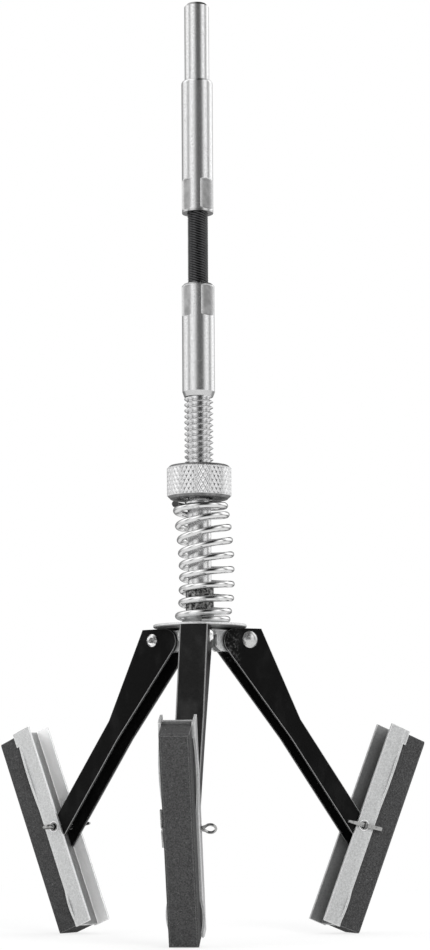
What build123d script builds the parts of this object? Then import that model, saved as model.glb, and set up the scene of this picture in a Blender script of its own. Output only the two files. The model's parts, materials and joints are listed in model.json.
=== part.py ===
# Three-arm cylinder hone with a flexible shaft, a spring-loaded spreader and pivoting abrasive stones.
# Millimetres, +Z towards the drill. The origin is on the axis, where the drive shank meets its ferrule.
# Arm 1 points along -Y and the other two follow at 120 degree steps. The arms stand fully open.
import os
from math import acos, atan2, cos, degrees, hypot, radians, sin

from build123d import *

os.makedirs("parts", exist_ok=True)

# Drive shank and upper ferrule
shank_diameter = 6.0
shank_length = 19.0
shank_chamfer = 0.7
upper_ferrule_diameter = 7.6
upper_ferrule_length = 32.4
ferrule_shoulder = 0.7

# Crimps that hold the flexible shaft
crimp_flats = 4
crimp_length = 7.6
crimp_depth = 0.5
crimp_rim = 0.5
crimp_ramp = 0.35

# Flexible shaft
cable_diameter = 5.0
cable_core_diameter = 3.2
cable_free_length = 17.4
cable_grip = 9.5
cable_clearance = 0.05

# Spindle: lower ferrule, thread, plain guide length and the riveted end
lower_ferrule_diameter = 7.9
lower_ferrule_length = 26.3
ferrule_chamfer = 0.5
ferrule_cone = 1.2
thread_diameter = 7.0
thread_length = 26.0
guide_diameter = 5.7
guide_length = 30.6
tenon_diameter = 4.0
rivet_head_diameter = 5.6
rivet_head_height = 0.9

# Tension nut
nut_diameter = 15.6
nut_height = 8.1
nut_chamfer = 0.8
nut_drop = 16.8
thread_clearance = 0.08

# Expansion spring
spring_diameter = 13.5
spring_wire = 1.6
closed_turns = 1.0
active_turns = 7.75
coil_gap = 0.08
spring_end_gap = 0.1

# Pressure plate, its conical seat and the guide sleeve
plate_diameter = 22.6
plate_thickness = 0.7
plate_edge_chamfer = 0.15
plate_gap = 0.05
plate_clearance = 0.3
seat_base_diameter = 9.9
seat_top_diameter = 6.8
seat_height = 2.3
sleeve_diameter = 6.8
sleeve_length = 7.3
sleeve_clearance = 0.1

# Arm bracket and its retaining washer
bracket_thickness = 1.0
bracket_drop = 0.5
bracket_ear_thickness = 0.9
bracket_hub_diameter = 7.8
ear_start_radius = 3.5
ear_end_radius = 2.8
ear_corner = 1.2
ear_clearance = 0.2
washer_diameter = 6.6
washer_thickness = 0.8

# Arms: pressed channels, the web outside and the open side towards the axis
arm_count = 3
arm_length = 54.6
arm_open_angle = 34.0
arm_width = 6.7
arm_sheet = 0.8
pivot_radius = 11.8
arm_top_rise = 2.7
arm_heel = 3.25
nose_reach = 6.8
nose_radius = 3.1
leg_toe = 1.4
leg_depth = 4.8
outer_knee = 31.0
inner_knee = 28.8
tip_radius = 1.4
web_stop = 3.2
arm_bend_radius = 0.5

# Pivot rivets
pivot_diameter = 2.4
pivot_clearance = 0.08
dome_diameter = 4.1
dome_height = 0.9
tail_diameter = 3.1
tail_height = 0.8
tail_roll = 0.5
tail_lip = 0.25
tail_bore = 1.4
tail_bore_depth = 1.6
rivet_play = 0.05

# Stones and their holders
stone_tilt = 22.0
stone_width = 6.8
stone_thickness = 6.8
stone_length = 51.0
stone_above_pin = 25.8
stone_chamfer = 0.4
holder_sheet = 0.6
holder_side_play = 0.15
holder_top_overhang = 0.7
holder_bottom_overhang = 0.35
holder_mouth = 1.85
tip_clearance = 0.2
lip_depth = 0.6
end_tab_depth = 0.8
end_tab_length = 3.6
lip_bulge = 0.5
upper_bulge_start = 5.5
upper_bulge_end = 23.4
lower_bulge_start = -16.5
lower_bulge_end = -24.0

# Cotter pins
cotter_diameter = 1.15
cotter_hole_diameter = 1.8
cotter_eye_diameter = 2.7
cotter_leg_length = 4.7
cotter_side_gap = 0.25
cotter_split = 0.06
cotter_bend_radius = 0.15
cotter_neck_radius = 1.1

# Heights down the axis, worked out from the sizes above
cable_top = -upper_ferrule_length
spindle_top = cable_top - cable_free_length
thread_top = spindle_top - lower_ferrule_length - ferrule_cone
guide_top = thread_top - thread_length
bracket_top = guide_top - guide_length
pivot_height = bracket_top + bracket_drop - arm_top_rise
arm_top = pivot_height + arm_top_rise
plate_bottom = arm_top + plate_gap
plate_top = plate_bottom + plate_thickness
seat_top = plate_top + seat_height
nut_top = thread_top - nut_drop
nut_bottom = nut_top - nut_height

arm_azimuths = [-90 + 360 / arm_count * i for i in range(arm_count)]


# Planes for each arm: local x runs outward along the arm's radius and local y runs up
def radial(azimuth):
    return Vector(cos(radians(azimuth)), sin(radians(azimuth)), 0)


def side_plane(azimuth, offset=0.0):
    out = radial(azimuth)
    normal = Vector(out.Y, -out.X, 0)
    return Plane(origin=normal * offset, x_dir=out, z_dir=normal)


# Points of the arm's side view, as (radius, height)
pivot = Vector(pivot_radius, pivot_height)
pin = pivot + Vector(sin(radians(arm_open_angle)), -cos(radians(arm_open_angle))) * arm_length
leg_angle = radians(arm_open_angle + leg_toe)
leg_along = Vector(sin(leg_angle), -cos(leg_angle))
leg_out = Vector(cos(leg_angle), sin(leg_angle))
stone_up = Vector(sin(radians(stone_tilt)), cos(radians(stone_tilt)))
stone_out = Vector(cos(radians(stone_tilt)), -sin(radians(stone_tilt)))

# Half-widths and depths that two pieces share
arm_half = arm_width / 2
channel_half = arm_half - arm_sheet
ear_half = channel_half - ear_clearance
holder_inner = arm_half + holder_side_play
holder_outer = holder_inner + holder_sheet
web_back = tip_radius + tip_clearance
web_front = web_back + holder_sheet
stone_half = stone_width / 2


def pin_plane(azimuth, along=0.0):
    """Across a stone at its pin: local x runs out through the stone and z runs up along it."""
    out = radial(azimuth)
    centre = out * pin.X + Vector(0, 0, pin.Y)
    x_dir = out * stone_out.X + Vector(0, 0, stone_out.Y)
    z_dir = out * stone_up.X + Vector(0, 0, stone_up.Y)
    return Plane(origin=centre + z_dir * along, x_dir=x_dir, z_dir=z_dir)


def pin_axis_side(azimuth):
    """Side plane of an arm with its origin on the cotter pin's axis and local x out through the stone."""
    plane = pin_plane(azimuth)
    return Plane(origin=plane.origin, x_dir=plane.x_dir, z_dir=-plane.y_dir)


def crimp_cutter(ferrule_diameter, low, high):
    """Press flats with ramped ends, as the solid that the press takes away."""
    flat = ferrule_diameter / 2 - crimp_depth
    reach = ferrule_diameter
    with BuildPart() as cutter:
        for flat_number in range(crimp_flats):
            turn = (flat_number + 0.5) * 360 / crimp_flats
            with BuildSketch(side_plane(turn)):
                with BuildLine():
                    Polyline(
                        (flat, low + crimp_ramp),
                        (flat + crimp_depth, low),
                        (flat + reach, low),
                        (flat + reach, high),
                        (flat + crimp_depth, high),
                        (flat, high - crimp_ramp),
                        close=True,
                    )
                make_face()
            extrude(amount=ferrule_diameter, both=True)
    return cutter.part


def build_shank():
    with BuildPart() as shank:
        with BuildSketch():
            Circle(upper_ferrule_diameter / 2)
        extrude(amount=-upper_ferrule_length)
        fillet(shank.faces().sort_by(Axis.Z)[-1].edges(), radius=ferrule_shoulder)
        with BuildSketch(Plane.XY.offset(-ferrule_shoulder)):
            Circle(shank_diameter / 2)
        extrude(amount=ferrule_shoulder + shank_length)
        chamfer(shank.faces().sort_by(Axis.Z)[-1].edges(), length=shank_chamfer)
        with BuildSketch(Plane.XY.offset(cable_top)):
            Circle(cable_diameter / 2 + cable_clearance)
        extrude(amount=cable_grip, mode=Mode.SUBTRACT)
        low = cable_top + crimp_rim
        add(crimp_cutter(upper_ferrule_diameter, low, low + crimp_length), mode=Mode.SUBTRACT)
    return shank.part


def build_cable_core():
    with BuildPart() as core:
        with BuildSketch(Plane.XY.offset(spindle_top - cable_grip)):
            Circle(cable_core_diameter / 2)
        extrude(amount=cable_free_length + 2 * cable_grip)
    return core.part


def build_cable_winding():
    with BuildPart() as winding:
        with BuildSketch(Plane.XY.offset(spindle_top - cable_grip)):
            Circle(cable_diameter / 2)
            Circle(cable_core_diameter / 2, mode=Mode.SUBTRACT)
        extrude(amount=cable_free_length + 2 * cable_grip)
    return winding.part


def dome_radius(half_width, height):
    return (half_width**2 + height**2) / (2 * height)


def build_spindle():
    ferrule = lower_ferrule_diameter / 2
    ferrule_low = spindle_top - lower_ferrule_length
    washer_low = bracket_top - bracket_thickness - washer_thickness
    head = rivet_head_diameter / 2
    with BuildPart() as spindle:
        with BuildSketch(Plane.XZ):
            with BuildLine():
                Polyline(
                    (0, spindle_top),
                    (ferrule - ferrule_chamfer, spindle_top),
                    (ferrule, spindle_top - ferrule_chamfer),
                    (ferrule, ferrule_low),
                    (thread_diameter / 2, thread_top),
                    (thread_diameter / 2, guide_top),
                    (guide_diameter / 2, guide_top),
                    (guide_diameter / 2, bracket_top),
                    (tenon_diameter / 2, bracket_top),
                    (tenon_diameter / 2, washer_low),
                    (head, washer_low),
                )
                dome = RadiusArc(
                    (head, washer_low),
                    (0, washer_low - rivet_head_height),
                    dome_radius(head, rivet_head_height),
                )
                Line(dome @ 1, (0, spindle_top))
            make_face()
        revolve(axis=Axis.Z)
        with BuildSketch(Plane.XY.offset(spindle_top)):
            Circle(cable_diameter / 2 + cable_clearance)
        extrude(amount=-cable_grip, mode=Mode.SUBTRACT)
        high = spindle_top - crimp_rim
        add(crimp_cutter(lower_ferrule_diameter, high - crimp_length, high), mode=Mode.SUBTRACT)
    return spindle.part


def build_nut():
    with BuildPart() as nut:
        with BuildSketch(Plane.XY.offset(nut_bottom)):
            Circle(nut_diameter / 2)
            Circle(thread_diameter / 2 + thread_clearance, mode=Mode.SUBTRACT)
        extrude(amount=nut_height)
        chamfer(nut.edges().filter_by(GeomType.CIRCLE).group_by(SortBy.RADIUS)[-1], length=nut_chamfer)
        chamfer(nut.edges().filter_by(GeomType.CIRCLE).group_by(SortBy.RADIUS)[0], length=nut_chamfer / 2)
    return nut.part


def build_spring():
    wire_radius = spring_wire / 2
    coil_radius = spring_diameter / 2 - wire_radius
    closed_pitch = spring_wire + coil_gap
    bottom = plate_top + spring_end_gap + wire_radius
    top = nut_bottom - spring_end_gap - wire_radius
    closed_height = closed_pitch * closed_turns
    active_height = top - bottom - 2 * closed_height
    low = Helix(closed_pitch, closed_height, coil_radius, center=(0, 0, bottom))
    middle = Helix(active_height / active_turns, active_height, coil_radius, center=(0, 0, bottom + closed_height))
    middle = middle.rotate(Axis.Z, 360 * closed_turns)
    high = Helix(closed_pitch, closed_height, coil_radius, center=(0, 0, top - closed_height))
    high = high.rotate(Axis.Z, 360 * (closed_turns + active_turns))
    path = Wire([low, middle, high])
    with BuildPart() as spring:
        with BuildSketch(Plane(origin=path @ 0, z_dir=path % 0)):
            Circle(wire_radius)
        sweep(path=path, is_frenet=True, transition=Transition.TRANSFORMED)
    return spring.part.rotate(Axis.Z, arm_azimuths[0])


def build_plate():
    with BuildPart() as plate:
        with BuildSketch(Plane.XY.offset(plate_bottom)):
            Circle(plate_diameter / 2)
            Circle(guide_diameter / 2 + plate_clearance, mode=Mode.SUBTRACT)
        extrude(amount=plate_thickness)
        rims = plate.edges().filter_by(GeomType.CIRCLE).group_by(SortBy.RADIUS)[-1]
        chamfer(rims, length=plate_edge_chamfer)
    return plate.part


def build_spring_seat():
    bore = guide_diameter / 2 + plate_clearance
    with BuildPart() as seat:
        with BuildSketch(Plane.XZ):
            with BuildLine():
                Polyline(
                    (bore, plate_top),
                    (seat_base_diameter / 2, plate_top),
                    (seat_top_diameter / 2, seat_top),
                    (bore, seat_top),
                    close=True,
                )
            make_face()
        revolve(axis=Axis.Z)
    return seat.part


def build_sleeve():
    with BuildPart() as sleeve:
        with BuildSketch(Plane.XY.offset(seat_top)):
            Circle(sleeve_diameter / 2)
            Circle(guide_diameter / 2 + sleeve_clearance, mode=Mode.SUBTRACT)
        extrude(amount=sleeve_length)
    return sleeve.part


def build_bracket():
    crown = arm_top_rise - bracket_drop
    reach = pivot_radius + (ear_end_radius**2 - crown**2) ** 0.5
    ear_low = pivot_height - ear_end_radius
    turn = atan2(crown, reach - pivot_radius)
    middle = (turn - radians(90)) / 2
    with BuildPart() as bracket:
        with BuildSketch(Plane.XY.offset(bracket_top - bracket_thickness)):
            Circle(bracket_hub_diameter / 2)
            with PolarLocations(0, arm_count, start_angle=arm_azimuths[0]):
                with Locations((reach / 2, 0)):
                    Rectangle(reach, 2 * ear_half)
            Circle(tenon_diameter / 2, mode=Mode.SUBTRACT)
        extrude(amount=bracket_thickness)
        for azimuth in arm_azimuths:
            for side in (-ear_half, ear_half - bracket_ear_thickness):
                with BuildSketch(side_plane(azimuth, side)):
                    with BuildLine():
                        Polyline(
                            (pivot_radius, ear_low),
                            (ear_start_radius + ear_corner, ear_low),
                            (ear_start_radius, ear_low + ear_corner),
                            (ear_start_radius, bracket_top),
                            (reach, bracket_top),
                        )
                        ThreePointArc(
                            (reach, bracket_top),
                            (
                                pivot_radius + ear_end_radius * cos(middle),
                                pivot_height + ear_end_radius * sin(middle),
                            ),
                            (pivot_radius, ear_low),
                        )
                    make_face()
                extrude(amount=bracket_ear_thickness)
            with BuildSketch(side_plane(azimuth)):
                with Locations((pivot_radius, pivot_height)):
                    Circle(pivot_diameter / 2)
            extrude(amount=arm_width, both=True, mode=Mode.SUBTRACT)
    return bracket.part


def build_washer():
    with BuildPart() as washer:
        with BuildSketch(Plane.XY.offset(bracket_top - bracket_thickness - washer_thickness)):
            Circle(washer_diameter / 2)
            Circle(tenon_diameter / 2, mode=Mode.SUBTRACT)
        extrude(amount=washer_thickness)
    return washer.part


def miter(first, second, distance):
    """The step from a corner of two edges to the same corner of their parallels, this far inside."""
    total = first + second
    return total * (distance / (1 + first.dot(second)))


def build_arm(azimuth):
    heel = pivot + Vector(arm_heel, arm_top_rise)
    outer_line = pin + leg_out * tip_radius
    inner_line = pin - leg_out * (leg_depth - tip_radius)
    knee_out = outer_line - leg_along * outer_knee
    knee_in = inner_line - leg_along * inner_knee
    nose = pivot + Vector(nose_radius - nose_reach, arm_top_rise - nose_radius)
    to_knee = knee_in - nose
    tangent = atan2(to_knee.Y, to_knee.X) - acos(nose_radius / hypot(to_knee.X, to_knee.Y))
    nose_sweep = degrees(tangent) + 360 - 90
    end_run = (tip_radius - (inner_line - pin).dot(stone_out)) / leg_along.dot(stone_out)
    inner_tip = inner_line + leg_along * end_run
    tip_arc = arm_open_angle + leg_toe + stone_tilt

    upper_along = (knee_out - heel).normalized()
    upper_out = Vector(-upper_along.Y, upper_along.X)
    knee_inside = knee_out - miter(upper_out, leg_out, arm_sheet)
    heel_inside = heel - Vector(arm_sheet / upper_out.X, 0)
    web_end = outer_line - leg_along * web_stop

    with BuildPart() as arm:
        for side in (-arm_half, arm_half - arm_sheet):
            with BuildSketch(side_plane(azimuth, side)):
                with BuildLine():
                    top = Line(heel, nose + Vector(0, nose_radius))
                    cam = CenterArc(nose, nose_radius, 90, nose_sweep)
                    Polyline(cam @ 1, knee_in, inner_tip, pin + stone_out * tip_radius)
                    CenterArc(pin, tip_radius, -stone_tilt, tip_arc)
                    Polyline(outer_line, knee_out, top @ 0)
                make_face()
                with Locations(pivot):
                    Circle(pivot_diameter / 2 + pivot_clearance, mode=Mode.SUBTRACT)
                with Locations(pin):
                    Circle(cotter_hole_diameter / 2, mode=Mode.SUBTRACT)
            extrude(amount=arm_sheet)
        with BuildSketch(side_plane(azimuth)):
            with BuildLine():
                Polyline(
                    heel,
                    knee_out,
                    web_end,
                    web_end - leg_out * arm_sheet,
                    knee_inside,
                    heel_inside,
                    close=True,
                )
            make_face()
        extrude(amount=arm_half, both=True)
        web_faces = arm.faces().filter_by(lambda face: face.area > arm_width * web_stop)
        web_faces = web_faces.filter_by(lambda face: face.normal_at().dot(radial(azimuth)) > cos(radians(60)))
        corners = web_faces.edges().filter_by(lambda edge: edge.length > arm_width)
        fillet(corners, radius=min(arm_bend_radius, arm_sheet / 2))
    return arm.part


def pin_axis_plane(azimuth, point):
    """Level plane through a cross pin: local x runs outward and local y along the pin."""
    out = radial(azimuth)
    return Plane(origin=out * point.X + Vector(0, 0, point.Y), x_dir=out, z_dir=(0, 0, 1))


def build_rivet(azimuth):
    plane = pin_axis_plane(azimuth, pivot)
    end = arm_half + rivet_play
    shank_half = pivot_diameter / 2
    dome = dome_diameter / 2
    tail = tail_diameter / 2
    with BuildPart() as rivet:
        with BuildSketch(plane):
            with BuildLine():
                RadiusArc((dome, -end), (0, -end - dome_height), dome_radius(dome, dome_height))
                Polyline(
                    (dome, -end),
                    (shank_half, -end),
                    (shank_half, end),
                    (tail, end),
                    (tail, end + tail_height - tail_roll),
                    (tail - tail_roll, end + tail_height),
                    (tail_bore / 2, end + tail_height - tail_lip),
                    (tail_bore / 2, end + tail_height - tail_bore_depth),
                    (0, end + tail_height - tail_bore_depth),
                    (0, -end - dome_height),
                )
            make_face()
        revolve(axis=Axis(plane.origin, plane.y_dir))
    return rivet.part


def build_holder(azimuth):
    low = stone_above_pin - stone_length - holder_bottom_overhang
    high = stone_above_pin + holder_top_overhang
    length = high - low
    out = pin_plane(azimuth).x_dir
    lip_plane = Plane(
        origin=pin_plane(azimuth).origin + out * web_front, x_dir=pin_plane(azimuth).z_dir, z_dir=out
    )
    with BuildPart() as holder:
        with BuildSketch(pin_plane(azimuth, low)):
            with Locations(((web_back + web_front) / 2, 0)):
                Rectangle(holder_sheet, 2 * holder_outer)
            for side in (-1, 1):
                with Locations(((web_front - holder_mouth) / 2, side * (holder_inner + holder_outer) / 2)):
                    Rectangle(web_front + holder_mouth, holder_sheet)
        extrude(amount=length)
        for side in (-1, 1):
            for start, end, stand_off in (
                (low, lower_bulge_end, 0),
                (lower_bulge_end, lower_bulge_start, lip_bulge),
                (lower_bulge_start, upper_bulge_start, 0),
                (upper_bulge_start, upper_bulge_end, lip_bulge),
                (upper_bulge_end, high, 0),
            ):
                middle = (start + end) / 2
                near = side * stone_half
                far = side * (stone_half + holder_sheet)
                with BuildSketch(lip_plane):
                    with BuildLine():
                        if stand_off:
                            ThreePointArc((start, near), (middle, near + side * stand_off), (end, near))
                            Line((end, near), (end, far))
                            ThreePointArc((end, far), (middle, far + side * stand_off), (start, far))
                            Line((start, far), (start, near))
                        else:
                            Polyline((start, near), (end, near), (end, far), (start, far), close=True)
                    make_face()
                extrude(amount=lip_depth)
            tab_low = high - end_tab_length
            with BuildSketch(lip_plane):
                with Locations(((tab_low + high) / 2, side * (stone_half + holder_sheet / 2))):
                    Rectangle(end_tab_length, holder_sheet)
            extrude(amount=lip_depth + end_tab_depth)
        with BuildSketch(pin_axis_side(azimuth)):
            Circle(cotter_hole_diameter / 2)
        extrude(amount=holder_outer * 2, both=True, mode=Mode.SUBTRACT)
    return holder.part


def build_stone(azimuth):
    with BuildPart() as stone:
        with BuildSketch(pin_plane(azimuth, stone_above_pin - stone_length)):
            with Locations((web_front + stone_thickness / 2, 0)):
                Rectangle(stone_thickness, stone_width)
        extrude(amount=stone_length)
        face = stone.faces().sort_by(Axis(pin_plane(azimuth).origin, pin_plane(azimuth).x_dir))[-1]
        chamfer(face.edges(), length=stone_chamfer)
    return stone.part


def build_cotter(azimuth, leg_turn):
    """A split pin bent from half-round wire: an eye on one side of the holder, two spread legs on the other."""
    base = pin_plane(azimuth)
    spread = base.x_dir * cos(radians(leg_turn)) + base.z_dir * sin(radians(leg_turn))
    plane = Plane(origin=base.origin, x_dir=spread, z_dir=spread.cross(base.y_dir))
    flat = cotter_split / 2
    wire = cotter_diameter / 2 - flat
    bend = wire + cotter_bend_radius
    neck = wire + cotter_neck_radius
    eye = cotter_eye_diameter / 2 - wire
    eye_centre = holder_outer + ((neck + eye) ** 2 - (neck + flat) ** 2) ** 0.5
    neck_turn = degrees(atan2(eye_centre - holder_outer, neck + flat))
    leg_level = -holder_outer - cotter_side_gap - wire
    with BuildPart() as cotter:
        with BuildLine(plane) as path:
            Line((-cotter_leg_length, leg_level), (-flat - bend, leg_level))
            CenterArc((-flat - bend, leg_level + bend), bend, -90, 90)
            Line((-flat, leg_level + bend), (-flat, holder_outer))
            CenterArc((-flat - neck, holder_outer), neck, 0, neck_turn)
            CenterArc((0, eye_centre), eye, 180 + neck_turn, -180 - 2 * neck_turn)
            CenterArc((flat + neck, holder_outer), neck, 180 - neck_turn, neck_turn)
            Line((flat, holder_outer), (flat, leg_level + bend))
            CenterArc((flat + bend, leg_level + bend), bend, 180, 90)
            Line((flat + bend, leg_level), (cotter_leg_length, leg_level))
        section = Plane(origin=path.line @ 0, x_dir=plane.y_dir, z_dir=path.line % 0)
        with BuildSketch(section):
            with BuildLine():
                ThreePointArc((0, -wire), (wire, 0), (0, wire))
                Line((0, wire), (0, -wire))
            make_face()
        sweep(path=path.line)
    return cotter.part


pieces = {
    "drive_shank": build_shank(),
    "cable_core": build_cable_core(),
    "cable_winding": build_cable_winding(),
    "spindle": build_spindle(),
    "tension_nut": build_nut(),
    "expansion_spring": build_spring(),
    "pressure_plate": build_plate(),
    "spring_seat": build_spring_seat(),
    "guide_sleeve": build_sleeve(),
    "arm_bracket": build_bracket(),
    "retaining_washer": build_washer(),
}

# The front cotter pin's legs stand along the stone and the other two lie across it
cotter_turns = [84, 9, 12]
for number, (azimuth, leg_turn) in enumerate(zip(arm_azimuths, cotter_turns), start=1):
    pieces[f"arm_{number}"] = build_arm(azimuth)
    pieces[f"pivot_rivet_{number}"] = build_rivet(azimuth)
    pieces[f"stone_holder_{number}"] = build_holder(azimuth)
    pieces[f"stone_{number}"] = build_stone(azimuth)
    pieces[f"cotter_pin_{number}"] = build_cotter(azimuth, leg_turn)

for name, piece in pieces.items():
    piece.label = name
    export_step(piece, f"parts/{name}.step")

print(f"pivot {pivot.X:.3f} {pivot.Y:.3f}")
print(f"cotter pin {pin.X:.3f} {pin.Y:.3f}")
print(f"plate bottom {plate_bottom:.3f} plate top {plate_top:.3f} nut {nut_bottom:.3f} to {nut_top:.3f}")
print(f"nose offset {nose_reach - nose_radius:.3f} cable {spindle_top:.3f} to {cable_top:.3f}")
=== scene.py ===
import json
import math

import bpy
from mathutils import Euler, Matrix, Vector

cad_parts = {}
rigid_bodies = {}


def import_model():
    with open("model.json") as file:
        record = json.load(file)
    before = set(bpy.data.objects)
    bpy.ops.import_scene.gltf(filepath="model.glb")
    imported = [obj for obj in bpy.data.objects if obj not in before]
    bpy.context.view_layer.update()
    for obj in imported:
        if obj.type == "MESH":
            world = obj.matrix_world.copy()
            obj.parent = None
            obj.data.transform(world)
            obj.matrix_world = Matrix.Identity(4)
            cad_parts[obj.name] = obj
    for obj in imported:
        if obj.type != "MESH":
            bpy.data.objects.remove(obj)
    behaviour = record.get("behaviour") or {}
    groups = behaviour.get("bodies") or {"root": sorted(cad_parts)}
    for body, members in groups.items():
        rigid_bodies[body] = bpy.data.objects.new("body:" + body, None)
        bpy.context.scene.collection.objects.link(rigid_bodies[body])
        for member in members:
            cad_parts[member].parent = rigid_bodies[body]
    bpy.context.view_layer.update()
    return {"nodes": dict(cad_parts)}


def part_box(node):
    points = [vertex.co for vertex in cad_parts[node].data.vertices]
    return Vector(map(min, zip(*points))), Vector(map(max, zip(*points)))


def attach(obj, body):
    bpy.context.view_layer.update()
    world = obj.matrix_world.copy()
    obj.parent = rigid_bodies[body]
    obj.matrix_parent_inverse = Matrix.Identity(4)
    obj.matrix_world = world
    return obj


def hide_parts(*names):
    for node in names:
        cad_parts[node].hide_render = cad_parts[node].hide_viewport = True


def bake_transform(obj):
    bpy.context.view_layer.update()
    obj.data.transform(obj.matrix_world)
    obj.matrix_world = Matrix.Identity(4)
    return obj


for thing in list(bpy.data.objects):  # what a new file holds
    bpy.data.objects.remove(thing)

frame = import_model()
mm = 0.001
print("loaded", len(frame["nodes"]), "CAD nodes")

# what several pieces and finishes share
armAzimuth = {1: -90, 2: 30, 3: 150}
tipAxis = {"radius": 42.332, "height": -181.365}  # the cross axis in each arm's tip
nutUnderside = -102.2


def direction(azimuth):
    return Vector((math.cos(math.radians(azimuth)), math.sin(math.radians(azimuth)), 0))


def tipPlace(azimuth):
    return (direction(azimuth) * tipAxis["radius"] + Vector((0, 0, tipAxis["height"]))) * mm


# Modelling helpers

def deselectAll():  # before each new piece, because the CAD nodes come in selected
    bpy.ops.object.select_all(action="DESELECT")


def pick(obj, kind, test):  # selects what passes the test and stays in edit mode
    mode = {"faces": "FACE", "edges": "EDGE", "points": "VERT"}[kind]
    bpy.ops.object.mode_set(mode="EDIT")
    bpy.ops.mesh.select_mode(type=mode)
    bpy.ops.mesh.select_all(action="DESELECT")
    bpy.ops.object.mode_set(mode="OBJECT")
    items = {"faces": obj.data.polygons, "edges": obj.data.edges, "points": obj.data.vertices}[kind]
    for item in items:
        item.select = test(item)
    bpy.ops.object.mode_set(mode="EDIT")


def edgeHeights(obj, edge):
    return [obj.data.vertices[i].co.z for i in edge.vertices]


def makeActive(obj):
    deselectAll()
    obj.select_set(True)
    bpy.context.view_layer.objects.active = obj


def settle(obj):  # puts the object's place, turn and scale into its mesh
    makeActive(obj)
    bpy.ops.object.transform_apply(location=True, rotation=True, scale=True)


def addModifier(obj, kind, settings):
    makeActive(obj)
    modifier = obj.modifiers.new(kind.title(), kind)
    for name, value in settings.items():
        setattr(modifier, name, value)
    bpy.ops.object.modifier_apply(modifier=modifier.name)


def tidyMesh(obj, angle=35):
    makeActive(obj)
    bpy.ops.object.mode_set(mode="EDIT")
    bpy.ops.mesh.select_all(action="SELECT")
    bpy.ops.mesh.remove_doubles(threshold=0.002 * mm)
    bpy.ops.mesh.normals_make_consistent(inside=False)
    bpy.ops.object.mode_set(mode="OBJECT")
    bpy.ops.object.shade_smooth_by_angle(angle=math.radians(angle))


def drawLine(name, points):  # one point, pulled along as an open line, in mm
    deselectAll()
    bpy.ops.mesh.primitive_plane_add(size=mm, location=Vector(points[0]) * mm)
    obj = bpy.context.object
    obj.name = name
    bpy.ops.object.mode_set(mode="EDIT")
    bpy.ops.mesh.select_mode(type="VERT")
    bpy.ops.mesh.select_all(action="SELECT")
    bpy.ops.mesh.merge(type="CENTER")
    for near, far in zip(points, points[1:]):
        step = (Vector(far) - Vector(near)) * mm
        bpy.ops.mesh.extrude_vertices_move(TRANSFORM_OT_translate={"value": step})
    bpy.ops.object.mode_set(mode="OBJECT")
    settle(obj)
    return obj


def duplicate(obj, name):
    other = obj.copy()
    other.data = obj.data.copy()
    other.name = name
    bpy.context.collection.objects.link(other)
    return other


def copyNode(name, node):
    source = frame["nodes"][node]
    obj = duplicate(source, name)
    obj.parent = None
    obj.matrix_world = source.matrix_world.copy()
    makeActive(obj)
    bpy.ops.mesh.customdata_custom_splitnormals_clear()
    tidyMesh(obj)
    return obj


def keepPart(obj, height, side):  # cuts at a height in mm and closes the cut
    makeActive(obj)
    bpy.ops.object.mode_set(mode="EDIT")
    bpy.ops.mesh.select_all(action="SELECT")
    bpy.ops.mesh.bisect(plane_co=(0, 0, height * mm), plane_no=(0, 0, 1), use_fill=True,
                        clear_inner=side == "above", clear_outer=side == "below")
    bpy.ops.object.mode_set(mode="OBJECT")


def closeEnds(obj):
    pick(obj, "edges", lambda edge: False)
    bpy.ops.mesh.select_non_manifold()
    bpy.ops.mesh.edge_face_add()
    bpy.ops.object.mode_set(mode="OBJECT")


def joinPieces(main, others):
    makeActive(main)
    for other in others:
        other.select_set(True)
    bpy.ops.object.join()
    return main


def between(table, where):  # straight-line reading of a table of (place, value) pairs
    for (low, lowValue), (high, highValue) in zip(table, table[1:]):
        if where <= high:
            share = max(0, (where - low) / (high - low))
            return lowValue + share * (highValue - lowValue)
    return table[-1][1]


# Shader helpers

class Link:  # a node's output that can stand in a sum
    def __init__(self, tree, socket):
        self.tree = tree
        self.socket = socket

    def calc(self, operation, left, right):
        return self.tree.add("ShaderNodeMath", {"operation": operation}, {0: left, 1: right})

    def __add__(self, other):
        return self.calc("ADD", self, other)

    def __sub__(self, other):
        return self.calc("SUBTRACT", self, other)

    def __rsub__(self, other):
        return self.calc("SUBTRACT", other, self)

    def __mul__(self, other):
        return self.calc("MULTIPLY", self, other)

    def __truediv__(self, other):
        return self.calc("DIVIDE", self, other)

    __radd__ = __add__
    __rmul__ = __mul__


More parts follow.
